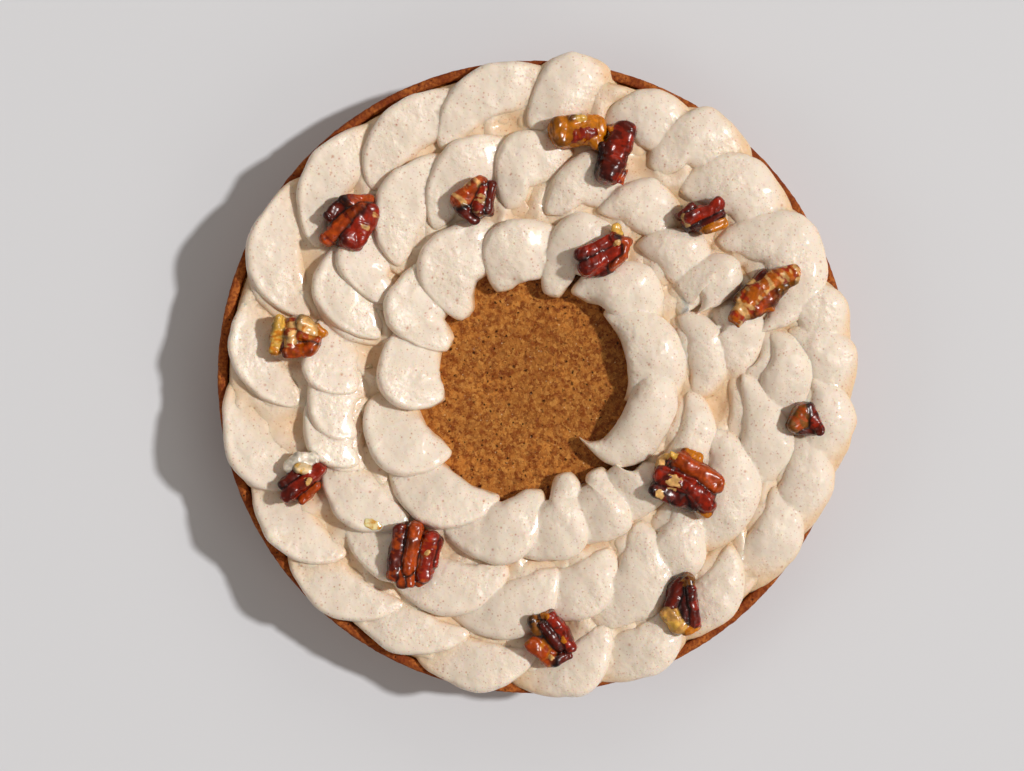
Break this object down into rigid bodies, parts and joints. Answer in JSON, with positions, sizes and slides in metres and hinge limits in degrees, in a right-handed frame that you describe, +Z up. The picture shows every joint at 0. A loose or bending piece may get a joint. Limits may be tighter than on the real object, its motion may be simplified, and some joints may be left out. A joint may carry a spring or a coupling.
{
  "type": "pecan tart",
  "caption": "Round pecan tart: straight-sided baked crust, flat pecan filling, rings of piped cream petals round a bare middle and candied pecans pressed into them.",
  "frame": {"origin": "middle of the crust's flat underside", "axes": "+Z up out of the cream, +X and +Y across the tart, +X to the right of the viewing direction"},
  "size_m": [0.2416, 0.2421, 0.0495],
  "materials": {
    "crust": "baked shortcrust pastry, dry and slightly rough",
    "filling": "baked nut filling, fine crumb, slightly moist",
    "cream": "piped whipped cream, soft satin",
    "pecan": "caramel glaze, wet gloss"
  },
  "bodies": {
    "root": {"crust": "crust", "filling": "filling", "cream": "cream", "pecan_01": "pecan", "pecan_02": "pecan", "pecan_03": "pecan", "pecan_04": "pecan", "pecan_05": "pecan", "pecan_06": "pecan", "pecan_07": "pecan", "pecan_08": "pecan", "pecan_09": "pecan", "pecan_10": "pecan", "pecan_11": "pecan", "pecan_12": "pecan", "pecan_13": "pecan", "pecan_14": "pecan"}
  },
  "joints": []
}
